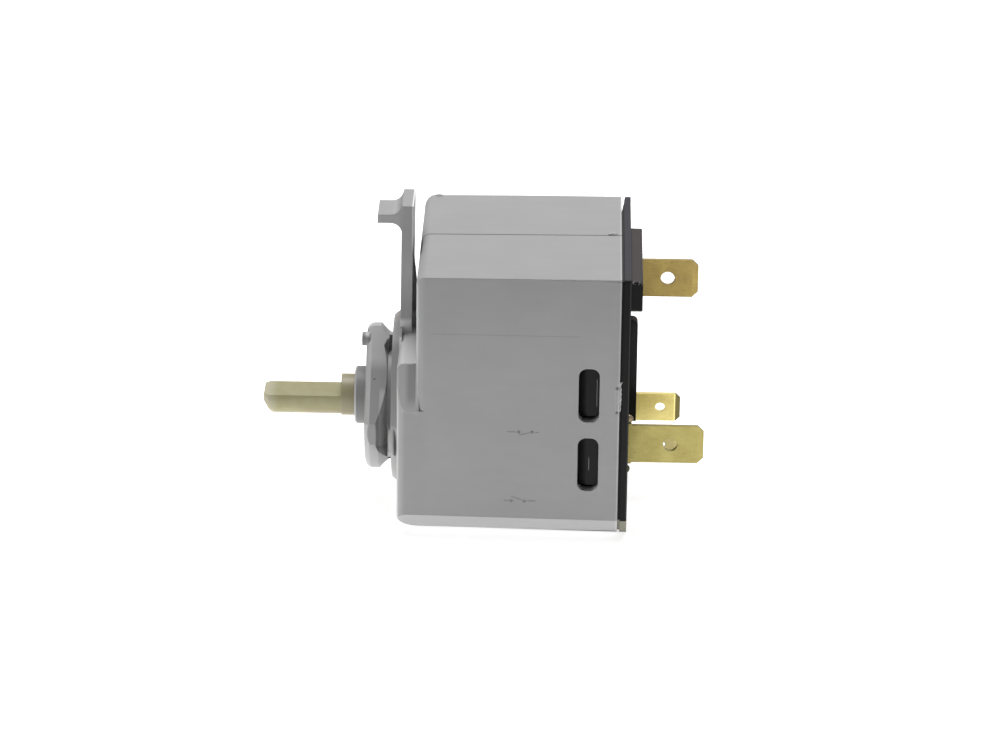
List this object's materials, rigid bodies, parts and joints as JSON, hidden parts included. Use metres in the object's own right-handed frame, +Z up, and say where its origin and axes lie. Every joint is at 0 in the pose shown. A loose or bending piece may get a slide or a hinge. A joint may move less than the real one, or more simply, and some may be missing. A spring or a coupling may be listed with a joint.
{
  "type": "push start switch",
  "caption": "Push start switch for a tumble dryer: grey box housing with twist-lock collar, latch finger and D shaft, black rear base with brass quick-connect tabs.",
  "frame": {"origin": "on the push shaft's axis, in the plane of the round seat that bears on the panel", "axes": "+X along the shaft to the rear, where the tabs point; -Y the side with the latch windows seen in the picture; +Z up, towards the latch finger"},
  "size_m": [0.0714, 0.0392, 0.0506],
  "materials": {
    "grey_nylon": "satin moulded grey nylon",
    "black_phenolic": "moulded black plastic with a slight sheen",
    "cream_nylon": "slightly translucent natural nylon",
    "carrier_plastic": "moulded",
    "spring_steel": "drawn wire",
    "copper_strip": "stamped copper strip",
    "contact_silver": "silver contact alloy",
    "brass": "stamped sheet brass, slightly tarnished"
  },
  "bodies": {
    "switch_body": {"housing": "grey_nylon", "rear_base": "black_phenolic", "return_spring": "spring_steel", "terminal_main_near": "brass", "terminal_main_far": "brass", "terminal_aux_near": "brass", "terminal_aux_far": "brass", "fixed_contact_main_near": "contact_silver", "fixed_contact_main_far": "contact_silver", "fixed_contact_aux_near": "contact_silver", "fixed_contact_aux_far": "contact_silver"},
    "plunger": {"push_shaft": "cream_nylon", "contact_carrier": "carrier_plastic", "main_bridge": "copper_strip", "main_spring": "spring_steel", "moving_contact_main_near": "contact_silver", "moving_contact_main_far": "contact_silver", "aux_bridge": "copper_strip", "aux_spring": "spring_steel", "moving_contact_aux_near": "contact_silver", "moving_contact_aux_far": "contact_silver"}
  },
  "joints": [
    {"name": "shaft_press", "type": "slide", "parent": "switch_body", "child": "plunger", "axis": [1, 0, 0], "range_m": [0, 0.003], "stiffness_N_per_m": 500, "springref_m": -0.004, "deforming": ["return_spring"]}
  ]
}
